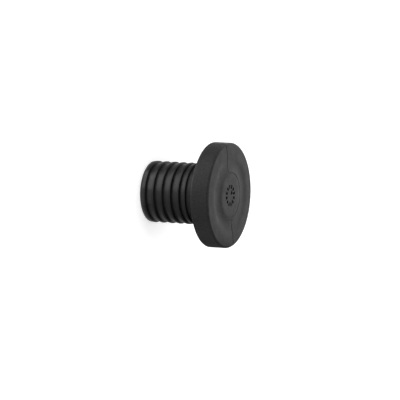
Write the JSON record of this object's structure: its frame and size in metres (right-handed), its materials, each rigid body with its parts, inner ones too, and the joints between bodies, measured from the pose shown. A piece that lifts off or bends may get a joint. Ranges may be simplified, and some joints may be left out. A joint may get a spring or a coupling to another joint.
{
  "type": "pipe plug",
  "caption": "Moulded pipe plug: a thick round flange on a hollow spigot whose barbs grip the bore of a plastic pipe and close its end.",
  "frame": {"origin": "centre of the spigot's open end, on the surface that the plug stands on", "axes": "+Z along the plug's axis from the spigot's open end to the flange's face, +X along the mould line that the visual model has across the face"},
  "size_m": [0.034, 0.034, 0.0277],
  "materials": {
    "black_plastic": "black engineering plastic, finely grained on the flange and satin on the spigot"
  },
  "bodies": {
    "root": {"pipe_plug": "black_plastic"}
  },
  "joints": []
}
